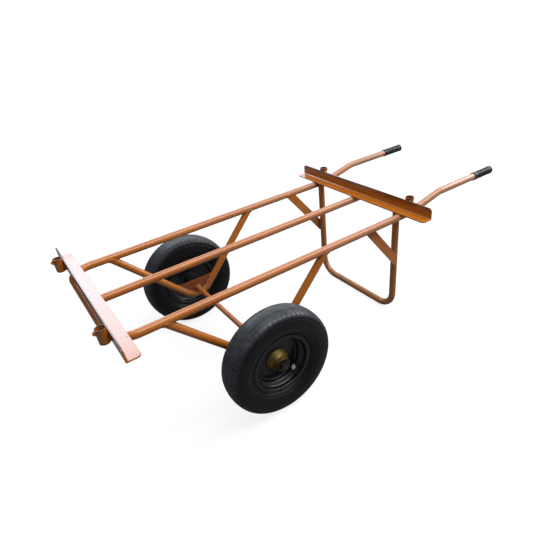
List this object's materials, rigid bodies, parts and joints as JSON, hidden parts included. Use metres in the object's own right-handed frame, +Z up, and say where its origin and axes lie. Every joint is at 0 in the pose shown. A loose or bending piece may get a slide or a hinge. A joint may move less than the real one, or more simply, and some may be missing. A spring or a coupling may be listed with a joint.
{
  "type": "two-handle cart",
  "caption": "Flat-bed hand cart of bent steel tube with two long handles, V axle carriers, pneumatic wheels, a loop stand and stake sockets on the end angles.",
  "frame": {"origin": "centre of the bounding box in plan, on the floor that the wheels and the stand rest on", "axes": "+X along the rails towards the handles, +Y along the axle to the left of someone pulling, +Z up"},
  "size_m": [1.726, 0.814, 0.532],
  "materials": {
    "paint": "glossy orange-brown paint on steel tube, angle and plate",
    "grip": "black moulded hand grips",
    "tyre": "black rubber tyre with ribbed tread",
    "rim": "satin black paint on the pressed rim",
    "hub": "yellow zinc plated hub with a flared root",
    "bush": "black nylon bearing bush",
    "zinc": "bare steel gone dark with oil"
  },
  "bodies": {
    "frame": {"frame_tube": "paint", "middle_rail": "paint", "front_angle": "paint", "rear_angle": "paint", "stand": "paint", "axle": "paint", "socket_front_left": "paint", "socket_front_right": "paint", "socket_rear_left": "paint", "socket_rear_right": "paint", "axle_carrier_left": "paint", "gusset_left": "paint", "brace_left": "paint", "grip_left": "grip", "spacer_left": "zinc", "washer_left": "zinc", "axle_nut_left": "zinc", "axle_carrier_right": "paint", "gusset_right": "paint", "brace_right": "paint", "grip_right": "grip", "spacer_right": "zinc", "washer_right": "zinc", "axle_nut_right": "zinc"},
    "wheel_left": {"tyre_left": "tyre", "rim_left": "rim", "hub_left": "hub", "bush_inner_left": "bush", "bush_outer_left": "bush"},
    "wheel_right": {"tyre_right": "tyre", "rim_right": "rim", "hub_right": "hub", "bush_inner_right": "bush", "bush_outer_right": "bush"}
  },
  "joints": [
    {"name": "wheel_left_spin", "type": "hinge", "parent": "frame", "child": "wheel_left", "pos_m": [-0.374, 0.355, 0.2], "axis": [0, 1, 0], "continuous": true},
    {"name": "wheel_right_spin", "type": "hinge", "parent": "frame", "child": "wheel_right", "pos_m": [-0.374, -0.355, 0.2], "axis": [0, 1, 0], "continuous": true}
  ]
}
